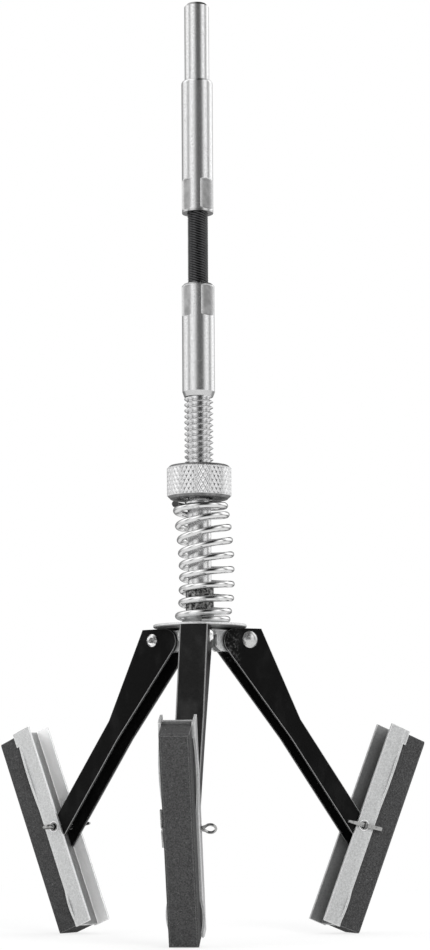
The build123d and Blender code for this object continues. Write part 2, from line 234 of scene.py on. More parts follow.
class Nodes:  # the nodes of one material or of the world
    def __init__(self, tree):
        self.tree = tree

    def add(self, kind, settings=None, sockets=None, out=0):
        node = self.tree.nodes.new(kind)
        for name, value in (settings or {}).items():
            if name == "stops":
                while len(node.color_ramp.elements) < len(value):
                    node.color_ramp.elements.new(0.5)
                for element, (where, level) in zip(node.color_ramp.elements, value):
                    element.position = where
                    element.color = (level, level, level, 1)
            else:
                setattr(node, name, value)
        for name, value in (sockets or {}).items():
            if isinstance(value, Link):
                self.tree.links.new(value.socket, node.inputs[name])
            else:
                node.inputs[name].default_value = value
        return Link(self, node.outputs[out])

    def place(self):
        return self.add("ShaderNodeTexCoord", out=3)

    def stretch(self, scale, turn=(0, 0, 0)):
        return self.add("ShaderNodeMapping", sockets={"Vector": self.place(), "Rotation": turn,
                                                      "Scale": scale})

    def noise(self, where, scale, detail=3, rough=0.55):
        return self.add("ShaderNodeTexNoise", sockets={"Vector": where, "Scale": scale, "Detail": detail,
                                                       "Roughness": rough})

    def fade(self, value, low, high):  # from 0 at low to 1 at high, which may be the smaller one
        return self.add("ShaderNodeMapRange", {"interpolation_type": "SMOOTHSTEP"},
                        {"Value": value, "From Min": low, "From Max": high})

    def fadeMm(self, value, low, high):  # the same, with its two places in mm
        return self.fade(value, low * mm, high * mm)

    def fadeHeight(self, low, high):
        return self.fadeMm(self.height(), low, high)

    def mix(self, share, colourA, colourB):
        return self.add("ShaderNodeMix", {"data_type": "RGBA"}, {0: share, 6: colourA, 7: colourB}, 2)

    def vector(self, operation, left, right):
        return self.add("ShaderNodeVectorMath", {"operation": operation}, {0: left, 1: right})

    def dot(self, left, right):
        return self.add("ShaderNodeVectorMath", {"operation": "DOT_PRODUCT"}, {0: left, 1: right}, 1)

    def length(self, vector):
        return self.add("ShaderNodeVectorMath", {"operation": "LENGTH"}, {0: vector}, 1)

    def absolute(self, value):
        return self.add("ShaderNodeMath", {"operation": "ABSOLUTE"}, {0: value})

    def parts(self, vector):  # its x, y and z
        split = self.add("ShaderNodeSeparateXYZ", sockets={0: vector})
        return [Link(self, output) for output in split.socket.node.outputs]

    def height(self):
        return self.parts(self.place())[2]

    def axisDistance(self):
        return self.length(self.vector("MULTIPLY", self.place(), (1, 1, 0)))

    def aside(self, azimuth):  # how far to the side of the plane through the axis at this azimuth
        return self.dot(self.place(), direction(azimuth + 90))

    def tipGap(self, azimuth):  # distance from the cross axis in the tip of the arm at this azimuth
        away = self.vector("SUBTRACT", self.place(), tipPlace(azimuth))
        out = self.dot(away, direction(azimuth))
        up = self.dot(away, (0, 0, 1))
        return self.add("ShaderNodeMath", {"operation": "SQRT"}, {0: out * out + up * up})

    def crevices(self, distance):  # 1 where a surface is closed in, from ambient occlusion; the finishes mostly darken it as painted shade
        return 1 - self.add("ShaderNodeAmbientOcclusion", {"samples": 6}, {"Distance": distance * mm}, 1)

    def edges(self, radius, low, high):  # 1 along sharp edges
        rounded = self.add("ShaderNodeBevel", {"samples": 6}, {"Radius": radius * mm})
        plain = self.add("ShaderNodeNewGeometry", out=1)
        return self.fade(1 - self.dot(rounded, plain), low, high)

    def bump(self, height, depth):
        return self.add("ShaderNodeBump", sockets={"Strength": 1, "Distance": depth * mm, "Height": height})

    def ramp(self, table, low, high, where, top=1):  # levels by their place from low to high, over top
        stops = [((place - low) / (high - low), level / top) for place, level in table]
        return self.add("ShaderNodeValToRGB", {"stops": stops}, {"Fac": where})

    def rays(self):  # which rays a surface is seen by
        return {name: self.add("ShaderNodeLightPath", out=index)
                for index, name in ((0, "camera"), (3, "glossy"), (6, "transmission"))}


def shade(level, tint=(1, 1, 1)):
    return (level * tint[0], level * tint[1], level * tint[2], 1)


def newFinish(name):
    material = bpy.data.materials.new(name)
    material.use_nodes = True
    material.node_tree.nodes.remove(material.node_tree.nodes["Principled BSDF"])
    return material, Nodes(material.node_tree)


def show(tree, outputName, surface):
    tree.links.new(surface.socket, tree.nodes[outputName].inputs["Surface"])


def useShader(material, nodes, sockets):
    show(material.node_tree, "Material Output", nodes.add("ShaderNodeBsdfPrincipled", sockets=sockets))
    return material


# Finishes

def turnedFinish(name, look):  # shank and spindle, with their crimped bands and cones
    material, nodes = newFinish(name)
    rings = nodes.noise(nodes.stretch((60, 60, look["ringScale"])), 1.0, 2)
    stains = nodes.noise(nodes.place(), look["stainScale"], 4, 0.6)
    stained = nodes.fade(stains, 0.5, 0.78)
    grit = nodes.noise(nodes.place(), 4200, 3, 0.7)
    wornAndLitEdge = nodes.edges(look["edge"], 0.02, 0.12)
    low, high = look["crimp"]
    inBand = nodes.fadeHeight(low - 0.1, low) * nodes.fadeHeight(high + 0.1, high)
    crimpFlats = inBand * nodes.fadeMm(nodes.axisDistance(), look["ferrule"], look["ferrule"] - 0.45)
    clean = shade(look["level"], look["tint"])
    colour = nodes.mix(stained * look["stain"], clean, shade(look["level"] * 0.62))
    colour = nodes.mix(nodes.fade(grit, 0.4, 0.66) * 0.5, colour, shade(look["level"] * 0.5))
    # the crimp flats are painted darker, as painted shade
    colour = nodes.mix(crimpFlats * (0.65 + nodes.fade(stains, 0.35, 0.65) * 0.2), colour, shade(0.24))
    # lighter edges: partly wear, partly a painted highlight
    colour = nodes.mix(wornAndLitEdge * 0.3, colour, shade(0.92))
    # painted shade where the surface is closed in, as at the thread roots and the cable's mouth
    colour = nodes.mix(nodes.fade(nodes.crevices(0.8), 0.35, 0.85) * 0.75, colour, shade(0.06))
    foot = look["foot"]
    # the chamfered cone at the foot is painted darker, as painted shade
    cone = nodes.fadeHeight(foot + 0.05, foot - 0.1) * nodes.fadeHeight(foot - 1.4, foot - 1.2)
    colour = nodes.mix(cone * (0.4 + grit * 0.3), colour, shade(look["footLevel"]))
    return useShader(material, nodes, {
        "Base Color": colour,
        "Metallic": 1.0,
        "Roughness": look["rough"] + rings * look["roughSpread"] + stained * 0.08 + crimpFlats * 0.1,
        "Normal": nodes.bump(rings * 0.6 + grit * 0.4, look["ringDepth"]),
    })


def knurlFinish(look):
    material, nodes = newFinish("knurledSteel")
    radius = nodes.axisDistance()
    raised = nodes.fadeMm(radius, look["groove"], look["crest"])
    dirtAndShadeNoise = nodes.noise(nodes.place(), 900, 4, 0.65)
    hollow = (1 - raised) * nodes.fadeMm(radius, look["groove"] - 0.9, look["groove"] - 0.4)
    clean = shade(look["level"], look["tint"])
    # the knurl's pits are painted dark, as painted shade
    colour = nodes.mix(hollow * (0.45 + dirtAndShadeNoise * 0.6), clean, shade(look["pitShade"]))
    # painted shade where the surface is closed in
    colour = nodes.mix(nodes.fade(nodes.crevices(2.5), 0.4, 0.9) * 0.85, colour, shade(0.03))
    # painted shade on the nut's underside
    underside = nodes.fadeHeight(look["under"] + 0.2, look["under"] + 0.05)
    colour = nodes.mix(underside * 0.85, colour, shade(0.03))
    return useShader(material, nodes, {
        "Base Color": colour,
        "Metallic": 0.92,
        "Roughness": 0.2 + dirtAndShadeNoise * 0.14 + hollow * 0.15,
        "Normal": nodes.bump(dirtAndShadeNoise, 0.012),
    })


def zincFinish(name, look):
    material, nodes = newFinish(name)
    mottle = nodes.noise(nodes.place(), 2000, 4, 0.75)
    fine = nodes.noise(nodes.place(), 4200, 3, 0.6)
    rolled = nodes.noise(nodes.stretch((2600, 500, 420)), 1.0, 2)
    bright = nodes.edges(look["edge"], 0.015, 0.1)
    scuffs = nodes.noise(nodes.stretch((700, 900, 220), (0.3, 0.2, 0.5)), 1.0, 5, 0.7)
    colour = nodes.mix(nodes.fade(mottle, 0.3, 0.7), shade(look["dark"], look["tint"]),
                       shade(look["light"], look["tint"]))
    colour = nodes.mix(nodes.fade(scuffs, 0.6, 0.72) * 0.16, colour, shade(0.4))
    # painted shade where the surface is closed in
    colour = nodes.mix(nodes.fade(nodes.crevices(look["gap"]), 0.2, 0.9) * 0.75, colour, shade(0.06))
    colour = nodes.mix(nodes.fade(fine, 0.4, 0.66) * 0.3, colour, shade(look["dark"] * 0.55))
    metal = look["metal"]
    if "under" in look:  # the underside and the lower half of the rim are in shadow
        colour = nodes.mix(nodes.fadeHeight(look["under"] + 0.3, look["under"]) * 0.8, colour, shade(0.05))
    if "azimuth" in look:  # a holder: painted shade in its channel, and a painted highlight ring round the pin's hole, with painted shadow in the hole
        inner = look["innerHalf"]
        aside = nodes.aside(look["azimuth"])
        channel = nodes.fadeMm(nodes.absolute(aside), inner + 0.12, inner)
        colour = nodes.mix(channel * 0.55, colour, shade(0.1))
        hole = nodes.tipGap(look["azimuth"])
        ring = nodes.fadeMm(hole, *look["ringInside"]) * nodes.fadeMm(hole, *look["ringOutside"])
        colour = nodes.mix(ring * 0.8, colour, shade(0.95))
        colour = nodes.mix(nodes.fadeMm(hole, *look["holeRim"]) * 0.95, colour, shade(0.015))
        if look["farWhite"]:  # the far side's inner face gets painted light: whiter and less metallic
            farFace = nodes.fadeMm(aside, 0.2 - inner, 0.03 - inner)
            farFace = farFace * nodes.fadeMm(aside, -0.25 - inner, -0.1 - inner)
            colour = nodes.mix(farFace, colour, shade(1))
            metal = metal - farFace * 0.5
    # painted highlight along the edges
    colour = nodes.mix(bright * 0.85, colour, shade(0.97))
    return useShader(material, nodes, {
        "Base Color": colour,
        "Metallic": metal,
        "Roughness": 0.26 + mottle * 0.14 + rolled * 0.06 - bright * 0.12,
        "Normal": nodes.bump(mottle * 0.5 + fine * 0.5, 0.012),
    })


def paintFinish(name, look):
    material, nodes = newFinish(name)
    peel = nodes.noise(nodes.place(), 1100, 3)
    dust = nodes.noise(nodes.place(), 5200, 4, 0.7)
    ragged = nodes.noise(nodes.place(), 1500, 5, 0.7)
    edge = nodes.edges(look["edge"], 0.03, 0.2)
    wornAndLitEdge = nodes.fade(edge * 0.75 + ragged * 0.6, 0.78, 0.98)
    # the rounded bends between the web and the sides catch the light as thin lines
    aside = nodes.absolute(nodes.aside(look["azimuth"]))
    half = look["halfWidth"]
    bend = nodes.fadeMm(aside, half - 0.37, half - 0.25) * nodes.fadeMm(aside, half - 0.01, half - 0.07)
    smear = nodes.fade(nodes.noise(nodes.stretch((260, 260, 120)), 1.0, 4), 0.45, 0.75)
    specks = nodes.fade(nodes.noise(nodes.place(), 3000, 4, 0.75), 0.66, 0.76)
    colour = nodes.mix(smear * 0.5 + specks * 0.5 + nodes.fade(dust, 0.35, 0.65) * 0.5, shade(look["dark"]),
                       shade(look["light"]))
    if look["grit"]:  # a scuffed nose
        nose = nodes.fadeMm(nodes.axisDistance(), *look["nose"]) * nodes.fade(ragged, 0.5, 0.62)
        colour = nodes.mix(nose * look["grit"], colour, shade(0.07))
    colour = nodes.mix(bend * (0.4 + ragged * 0.8), colour, shade(look["line"]))
    # lighter edges: partly bare metal where the paint is worn, partly a painted highlight
    colour = nodes.mix(wornAndLitEdge, colour, shade(look["bare"]))
    return useShader(material, nodes, {
        "Base Color": colour,
        "Metallic": wornAndLitEdge * 0.8,
        "Roughness": look["rough"] + smear * 0.14 + dust * 0.06,
        "Specular IOR Level": look["gloss"],
        "Coat Weight": 0.02 + smear * look["sheen"] + bend * 0.7,
        "Coat Roughness": 0.12,
        "Normal": nodes.bump(peel * 0.7 + dust * 0.1 - wornAndLitEdge * 0.6, 0.02),
    })


def stoneFinish(look):
    material, nodes = newFinish("abrasiveStone")
    grain = nodes.fade(nodes.noise(nodes.place(), 3000, 4, 0.8), 0.3, 0.72)
    pores = nodes.add("ShaderNodeTexVoronoi", {}, {"Vector": nodes.place(), "Scale": 1900})
    clouds = nodes.noise(nodes.place(), 160, 4)
    edge = nodes.edges(look["edge"], 0.02, 0.16)
    ragged = nodes.noise(nodes.place(), 700, 5, 0.75)
    chipped = nodes.fade(edge * 0.6 + ragged * 0.7, 0.72, 0.86)
    specks = nodes.fade(nodes.noise(nodes.place(), 2100, 4, 0.8), 0.6, 0.72)
    coarse = nodes.fade(nodes.noise(nodes.place(), 2700, 3, 0.75), 0.38, 0.62)
    colour = nodes.mix(grain * 0.35 + coarse * 0.5 + clouds * 0.15, shade(look["dark"], look["tint"]),
                       shade(look["light"], look["tint"]))
    colour = nodes.mix(nodes.fade(pores, 0.0, 0.28), shade(look["pore"]), colour)
    colour = nodes.mix(specks * 0.5, colour, shade(0.34))
    colour = nodes.mix(chipped * 0.8, colour, shade(look["chip"]))
    return useShader(material, nodes, {
        "Base Color": colour,
        "Roughness": 0.82 + grain * 0.14,
        "Normal": nodes.bump(grain * 0.7 + pores * 0.5 - chipped * 0.8, 0.09),
    })


def steelFinish(name, look):  # wires, rivets, cotter pins and the guide sleeve
    material, nodes = newFinish(name)
    drawn = nodes.noise(nodes.place(), look["grain"], 4, 0.6)
    stains = nodes.noise(nodes.place(), look["stainScale"], 5, 0.65)
    stains = nodes.fade(stains, look["spread"], look["spread"] + look.get("soft", 0.16))
    clean = shade(look["level"], look["tint"])
    colour = nodes.mix(stains * look["stain"], clean, shade(look["stainLevel"]))
    # painted shade where the surface is closed in
    closedInShade = nodes.fade(nodes.crevices(look.get("reach", 0.5)), 0.4, 1.0)
    colour = nodes.mix(closedInShade * 0.8, colour, shade(0.02))
    if "azimuth" in look:  # a rivet: its rolled tail is brighter than its head
        tail = nodes.fadeMm(nodes.aside(look["azimuth"]), *look["tail"])
        tail = tail * nodes.fade(nodes.crevices(0.4), 1.0, 0.6)
        colour = nodes.mix(tail * (1 - stains * 0.4), colour, shade(0.95))
    if "endTop" in look:  # the wire's end just under the nut, on the left, is darker: its cut face, and painted shade
        cutEndAndShade = nodes.fadeHeight(look["endTop"] - 1.75, look["endTop"] - 1.6)
        cutEndAndShade = cutEndAndShade * nodes.fadeMm(nodes.aside(look["endAzimuth"]), *look["endAside"])
        colour = nodes.mix(cutEndAndShade * (0.6 + stains * 0.4), colour, shade(0.06))
    return useShader(material, nodes, {
        "Base Color": colour,
        "Metallic": look.get("metal", 1.0),
        "Roughness": look["rough"] + drawn * look["roughSpread"] + stains * 0.15,
        "Normal": nodes.bump(drawn, look["depth"]),
    })


turned = {"ringScale": 5200, "ringDepth": 0.016, "stainScale": 500, "stain": 0.22, "level": 0.9,
          "tint": (1, 1, 1.005), "rough": 0.17, "roughSpread": 0.1, "edge": 0.12}
shankSteel = turnedFinish("shankSteel", turned | {"crimp": (-31.9, -24.3), "ferrule": 3.8,
                                                  "foot": -31.9, "footLevel": 0.42})
spindleSteel = turnedFinish("spindleSteel", turned | {"crimp": (-57.9, -50.3), "ferrule": 3.95,
                                                      "foot": -76.1, "footLevel": 0.6})
rivet = {"grain": 3200, "stainScale": 900, "level": 0.6, "tint": (1, 1, 0.995), "stain": 0.2,
         "stainLevel": 0.3, "spread": 0.56, "rough": 0.13, "roughSpread": 0.08, "depth": 0.003,
         "reach": 0.7, "metal": 0.85, "tail": (3.4, 3.8)}
rivetSteel = {number: steelFinish(f"rivetSteel{number}", rivet | {"azimuth": azimuth})
              for number, azimuth in armAzimuth.items()}
pinSteel = steelFinish("pinSteel", {"grain": 2600, "stainScale": 1100, "level": 0.46,
                                    "tint": (1, 1, 0.99), "stain": 0.6, "stainLevel": 0.16,
                                    "spread": 0.5, "rough": 0.2, "roughSpread": 0.14, "depth": 0.012})
knurledSteel = knurlFinish({"groove": 7.5, "crest": 7.72, "level": 0.82, "tint": (1, 1, 1.005),
                            "pitShade": 0.045, "under": nutUnderside})
zinc = {"dark": 0.44, "light": 0.64, "tint": (0.99, 1.0, 1.0), "edge": 0.32, "metal": 0.6, "gap": 0.7}
zincPlate = zincFinish("zincPlate", zinc)
# the pressure plate's zinc is painted lighter than the rest, as painted light
zincDisc = zincFinish("zincDisc", zinc | {"dark": 0.66, "light": 0.9, "edge": 0.1, "under": -133.3})
holder = zinc | {"gap": 2.6, "innerHalf": 3.5, "farWhite": False, "ringInside": (0.6, 0.75),
                 "ringOutside": (1.45, 1.3), "holeRim": (1.2, 1.1)}
# holder 3 is painted lighter all over as painted light, and its far inner face gets painted light too
holderLooks = {1: {}, 2: {}, 3: {"farWhite": True, "dark": 0.54, "light": 0.72}}
zincHolder = {number: zincFinish(f"zincHolder{number}", holder | {"azimuth": armAzimuth[number]} | own)
              for number, own in holderLooks.items()}
paint = {"dark": 0.003, "bare": 0.26, "rough": 0.28, "sheen": 0.1, "edge": 0.16, "halfWidth": 3.35,
         "nose": (10.5, 8)}
# the front arm's paint is painted lighter and the side arms' darker, as painted light and shade
armLooks = {1: {"grit": 0, "gloss": 0.12, "light": 0.022, "line": 0.2},
            2: {"grit": 0.8, "gloss": 0.03, "light": 0.007, "line": 0.3},
            3: {"grit": 0, "gloss": 0.045, "light": 0.009, "line": 0.3}}
blackPaint = {number: paintFinish(f"blackPaint{number}", paint | {"azimuth": armAzimuth[number]} | own)
              for number, own in armLooks.items()}
abrasiveStone = stoneFinish({"dark": 0.009, "light": 0.08, "pore": 0.01, "chip": 0.24,
                             "tint": (1, 1, 1.01), "edge": 0.4})
springWire = steelFinish("springWire", {"grain": 2600, "stainScale": 420, "level": 0.8,
                                        "tint": (1, 1, 1), "stain": 0.3, "stainLevel": 0.35,
                                        "spread": 0.54, "rough": 0.06, "roughSpread": 0.05,
                                        "depth": 0.004, "reach": 0.8, "endTop": nutUnderside,
                                        "endAzimuth": -84, "endAside": (-4.2, -4.8)})
oiledWire = steelFinish("oiledWire", {"grain": 3000, "stainScale": 900, "level": 0.085,
                                      "tint": (1, 1, 1.02), "stain": 0.6, "stainLevel": 0.02,
                                      "spread": 0.52, "rough": 0.1, "roughSpread": 0.1, "depth": 0.01,
                                      "reach": 0.25})
darkSleeve = steelFinish("darkSleeve", {"grain": 1800, "stainScale": 1200, "level": 0.44,
                                        "tint": (1, 1, 0.99), "stain": 1.0, "stainLevel": 0.02,
                                        "spread": 0.36, "soft": 0.24, "rough": 0.2, "roughSpread": 0.2,
                                        "depth": 0.04})
print("finishes made")


def dress(piece, finish):
    piece.data.materials.clear()
    piece.data.materials.append(finish)


# Tension nut with its knurl

nut = {"width": 15.6, "bottom": nutUnderside, "height": 8.1, "bore": 7.16, "diamonds": 44, "rows": 4,
       "ridge": 0.085, "sink": 0.22, "topChamfer": 0.7, "bottomChamfer": 0.9, "boreChamfer": 0.4,
       "blankSides": 96, "blankMargin": 0.01}


def makeNut(size):
    radius = size["width"] / 2
    rowHeight = size["height"] / size["rows"]
    deselectAll()
    bpy.ops.mesh.primitive_circle_add(vertices=size["diamonds"], radius=radius * mm, fill_type="NOTHING",
                                      location=(0, 0, size["bottom"] * mm))
    knurl = bpy.context.object
    knurl.name = "tensionNut"
    bpy.ops.object.mode_set(mode="EDIT")
    for row in range(size["rows"]):
        bpy.ops.mesh.extrude_region_move(TRANSFORM_OT_translate={"value": (0, 0, rowHeight * mm)})
    bpy.ops.object.mode_set(mode="OBJECT")
    settle(knurl)

    sagitta = radius * (1 - math.cos(math.pi / size["diamonds"]))
    pick(knurl, "faces", lambda face: True)
    bpy.ops.mesh.normals_make_consistent(inside=False)
    bpy.ops.mesh.poke(offset=sagitta * mm)
    bpy.ops.object.mode_set(mode="OBJECT")

    def rowOf(height):
        return (height / mm - size["bottom"]) / rowHeight

    def isGridEdge(edge):  # the square grid's own edges, but not the two rims
        rows = [rowOf(z) for z in edgeHeights(knurl, edge)]
        onRows = all(abs(row - round(row)) < 0.1 for row in rows)
        onRim = all(row < 0.1 for row in rows) or all(row > size["rows"] - 0.1 for row in rows)
        return onRows and not onRim

    pick(knurl, "edges", isGridEdge)
    bpy.ops.mesh.dissolve_edges(use_verts=False, use_face_split=False)
    bpy.ops.object.mode_set(mode="OBJECT")
    pick(knurl, "faces", lambda face: True)
    bpy.ops.mesh.inset(thickness=size["ridge"] * mm, use_individual=True)
    bpy.ops.mesh.poke(offset=-size["sink"] * mm)
    bpy.ops.object.mode_set(mode="OBJECT")
    for end in (0, size["rows"]):
        pick(knurl, "edges", lambda edge: all(abs(rowOf(z) - end) < 0.05 for z in edgeHeights(knurl, edge)))
        bpy.ops.mesh.edge_face_add()
        bpy.ops.object.mode_set(mode="OBJECT")
    tidyMesh(knurl, 20)

    deselectAll()
    bpy.ops.mesh.primitive_cylinder_add(vertices=size["blankSides"],
                                        radius=(radius + size["blankMargin"]) * mm,
                                        depth=size["height"] * mm,
                                        location=(0, 0, (size["bottom"] + size["height"] / 2) * mm))
    blank = bpy.context.object
    settle(blank)
    top = (size["bottom"] + size["height"]) * mm
    for end, chamfer in ((size["bottom"] * mm, size["bottomChamfer"]), (top, size["topChamfer"])):
        pick(blank, "edges", lambda edge: all(abs(z - end) < 0.01 * mm for z in edgeHeights(blank, edge)))
        bpy.ops.mesh.bevel(offset=chamfer * mm, offset_type="OFFSET", segments=1, affect="EDGES")
        bpy.ops.object.mode_set(mode="OBJECT")
    pick(blank, "faces", lambda face: abs(face.normal.z) > 0.9)
    faceRadius = radius + size["blankMargin"] - max(size["topChamfer"], size["bottomChamfer"])
    bpy.ops.mesh.inset(thickness=(faceRadius - size["bore"] / 2 - size["boreChamfer"]) * mm)
    bpy.ops.mesh.inset(thickness=size["boreChamfer"] * mm, depth=-size["boreChamfer"] * mm)
    bpy.ops.mesh.bridge_edge_loops()
    bpy.ops.object.mode_set(mode="OBJECT")
    tidyMesh(blank)

    addModifier(knurl, "BOOLEAN", {"operation": "INTERSECT", "solver": "EXACT", "object": blank})
    bpy.data.objects.remove(blank)
    tidyMesh(knurl, 20)
    return knurl


tensionNut = makeNut(nut)
dress(tensionNut, knurledSteel)
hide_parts("tension_nut")
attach(tensionNut, "nut")
print("tension nut", len(tensionNut.data.polygons), "faces")


# Expansion spring, in two parts that meet at their split

springFoot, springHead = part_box("expansion_spring")
spring = {"diameter": 13.5, "wire": 1.6, "bottom": springFoot.z / mm, "top": springHead.z / mm,
          "closedPitch": 1.68, "closedTurns": 1.0, "activeTurns": 7.75, "startAngle": -86,
          "sides": 16, "steps": 44, "lowerPart": 7.5, "leanAzimuth": 5.54}
# how far the coils lean to one side in mm, and how they tilt, by the share of the height
springLean = [(0, 0.6), (0.06, 0.75), (0.13, 1.5), (0.25, 1.62), (0.33, 1.75), (0.54, 1.65),
              (0.74, 1.17), (0.85, 0.75), (1, 0.1)]
springTilt = [(0, 0.0), (0.06, 0.0), (0.13, -0.05), (0.33, -0.008), (0.54, 0.09), (0.64, 0.12),
              (0.74, 0.118), (0.85, 0.09), (0.94, 0.025), (1, 0.015)]


def makeSpring(size):
    middle = (size["diameter"] - size["wire"]) / 2
    turns = size["activeTurns"] + 2 * size["closedTurns"]
    low = size["bottom"] + size["wire"] / 2
    high = size["top"] - size["wire"] / 2
    closed = size["closedPitch"] * size["closedTurns"]
    rise = [(0, 0), (size["closedTurns"], closed), (turns - size["closedTurns"], high - low - closed),
            (turns, high - low)]
    deselectAll()
    bpy.ops.mesh.primitive_circle_add(vertices=size["sides"], radius=size["wire"] / 2 * mm,
                                      fill_type="NOTHING", location=(middle * mm, 0, low * mm),
                                      rotation=(math.pi / 2, 0, 0))
    coil = bpy.context.object
    coil.name = "springLower"
    settle(coil)
    steps = round(turns * size["steps"])
    addModifier(coil, "SCREW", {"angle": math.tau * turns, "screw_offset": (high - low) * mm,
                                "steps": steps, "render_steps": steps})
    coil.rotation_euler.z = math.radians(size["startAngle"])
    settle(coil)
    evenPitch = (high - low) / turns
    leanWay = direction(size["leanAzimuth"])
    for vertex in coil.data.vertices:  # closes the end turns, and leans and tilts the coils
        turn = (vertex.index // size["sides"]) / size["steps"]
        height = between(rise, turn)
        share = height / (high - low)
        aside = vertex.co.dot(leanWay)
        vertex.co.z += (height - turn * evenPitch) * mm + between(springTilt, share) * aside
        vertex.co += leanWay * between(springLean, share) * mm
    closeEnds(coil)
    tidyMesh(coil, 50)
    return coil


springSplit = spring["bottom"] + spring["lowerPart"]  # the long upper part lies above this split
springLower = makeSpring(spring)
springUpper = duplicate(springLower, "springUpper")
keepPart(springLower, springSplit, "below")
keepPart(springUpper, springSplit, "above")
for piece in (springLower, springUpper):
    tidyMesh(piece, 50)
    dress(piece, springWire)
    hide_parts("expansion_spring")
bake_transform(springLower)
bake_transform(springUpper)
print("spring", len(springLower.data.polygons) + len(springUpper.data.polygons), "faces")


# Flexible shaft: left-hand wires wound on a core, in two halves split at the middle

cable = {"wires": 7, "wire": 0.58, "wireSlope": 70, "middle": 2.2, "lead": 4.27, "top": -31.6,
         "bottom": -50.6, "bend": -41.1, "upperMouth": -32.4, "lowerMouth": -49.8, "sides": 8, "steps": 36,
         "core": 1.9, "coreSides": 24, "coreRings": 24}


def makeWinding(size):
    length = size["top"] - size["bottom"]
    turns = length / size["lead"]
    deselectAll()
    bpy.ops.mesh.primitive_circle_add(vertices=size["sides"], radius=size["wire"] / 2 * mm,
                                      fill_type="NOTHING",
                                      location=(size["middle"] * mm, 0, size["bottom"] * mm),
                                      rotation=(math.radians(size["wireSlope"]), 0, 0))
    wire = bpy.context.object
    wire.name = "windingUpper"
    settle(wire)
    steps = round(turns * size["steps"])
    addModifier(wire, "SCREW", {"angle": -math.tau * turns, "screw_offset": length * mm,
                                "steps": steps, "render_steps": steps})
    closeEnds(wire)
    copies = []
    for number in range(1, size["wires"]):
        other = duplicate(wire, "wire")
        other.rotation_euler.z = math.tau * number / size["wires"]
        settle(other)
        copies.append(other)
    joinPieces(wire, copies)
    tidyMesh(wire, 60)
    return wire


def makeCore(size):
    deselectAll()
    bpy.ops.mesh.primitive_circle_add(vertices=size["coreSides"], radius=size["core"] * mm,
                                      fill_type="NGON", location=(0, 0, size["bottom"] * mm))
    core = bpy.context.object
    core.name = "coreUpper"
    pick(core, "faces", lambda face: True)
    ringHeight = (size["top"] - size["bottom"]) / size["coreRings"]
    for ring in range(size["coreRings"]):
        bpy.ops.mesh.extrude_region_move(TRANSFORM_OT_translate={"value": (0, 0, ringHeight * mm)})
    bpy.ops.object.mode_set(mode="OBJECT")
    settle(core)
    tidyMesh(core, 40)
    return core


for upper, node, lowerName in ((makeWinding(cable), "cable_winding", "windingLower"),
                               (makeCore(cable), "cable_core", "coreLower")):
    lower = duplicate(upper, lowerName)
    keepPart(upper, cable["bend"], "above")
    keepPart(lower, cable["bend"], "below")
    for piece in (upper, lower):
        tidyMesh(piece, 60)
        dress(piece, oiledWire)
        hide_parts(node)
    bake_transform(upper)
    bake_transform(lower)
    print(node, len(upper.data.polygons) + len(lower.data.polygons), "faces")


# Spindle: the turned ferrule and guide, with a real thread between them

thread = {"pitch": 1.41, "crest": 3.5, "root": 2.66, "crestFlat": 0.16, "rootFlat": 0.16, "top": -76.9,
          "bottom": -103.3, "guideOverlap": 0.3, "spareTurns": 2, "steps": 40}
barrel = {"radius": 3.95, "top": -58.2, "shoulder": -76.1, "foot": -77.3, "footRadius": 3.5, "steps": 72}


def makeThread(size):
    flank = (size["pitch"] - size["crestFlat"] - size["rootFlat"]) / 2
    base = size["bottom"] - size["spareTurns"] * size["pitch"]  # the ends are cut off again
    rises = [(size["root"], 0), (size["root"], size["rootFlat"]), (size["crest"], size["rootFlat"] + flank),
             (size["crest"], size["rootFlat"] + flank + size["crestFlat"]), (size["root"], size["pitch"])]
    rod = drawLine("threadedSpindle", [(radius, 0, base + rise) for radius, rise in rises])
    turns = math.ceil((size["top"] - size["bottom"]) / size["pitch"]) + 2 * size["spareTurns"]
    addModifier(rod, "SCREW", {"angle": math.tau, "screw_offset": size["pitch"] * mm, "iterations": turns,
                               "steps": size["steps"], "render_steps": size["steps"],
                               "use_merge_vertices": True, "merge_threshold": 0.01 * mm})
    keepPart(rod, size["bottom"], "above")
    keepPart(rod, size["top"], "below")
    tidyMesh(rod, 50)
    return rod


def makeBarrel(size):
    profile = [(0, 0, size["top"]), (size["radius"], 0, size["top"]), (size["radius"], 0, size["shoulder"]),
               (size["footRadius"], 0, size["foot"]), (0, 0, size["foot"])]
    blank = drawLine("barrel", profile)
    addModifier(blank, "SCREW", {"angle": math.tau, "steps": size["steps"], "render_steps": size["steps"],
                                 "use_merge_vertices": True, "merge_threshold": 0.01 * mm})
    tidyMesh(blank)
    return blank


threadRod = makeThread(thread)
ferrule = copyNode("ferrule", "spindle")
guide = duplicate(ferrule, "guide")
keepPart(ferrule, barrel["top"], "above")
keepPart(guide, thread["bottom"] + thread["guideOverlap"], "below")
spindle = joinPieces(threadRod, [ferrule, makeBarrel(barrel), guide])
makeActive(spindle)
bpy.ops.object.shade_smooth_by_angle(angle=math.radians(20))
dress(spindle, spindleSteel)
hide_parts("spindle")
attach(spindle, "spindle")
print("spindle", len(spindle.data.polygons), "faces")


# Cotter pins: drawn-out eyes and tapered legs

pinPlace = {"lean": 22, "turns": {1: 84, 2: 9, 3: 12}}
pinSize = {"eyeStart": 4.3, "eyeStretch": 1.2, "eyeSqueeze": 1.05, "thinFrom": 4.9, "eyeThin": -0.09,
           "legStart": 0.9, "legTip": 4.7, "legWidth": 0.575, "tipWidths": (0.28, 0.42)}


def pinFrame(azimuth, turn):  # x along the legs, y along the pin towards its eye
    out = direction(azimuth)
    lean = math.radians(pinPlace["lean"])
    through = out * math.cos(lean) - Vector((0, 0, math.sin(lean)))
    along = out * math.sin(lean) + Vector((0, 0, math.cos(lean)))
    axis = along.cross(through)
    legs = through * math.cos(math.radians(turn)) + along * math.sin(math.radians(turn))
    facing = Matrix((legs, axis, legs.cross(axis))).transposed().to_4x4()
    return Matrix.Translation(tipPlace(azimuth)) @ facing


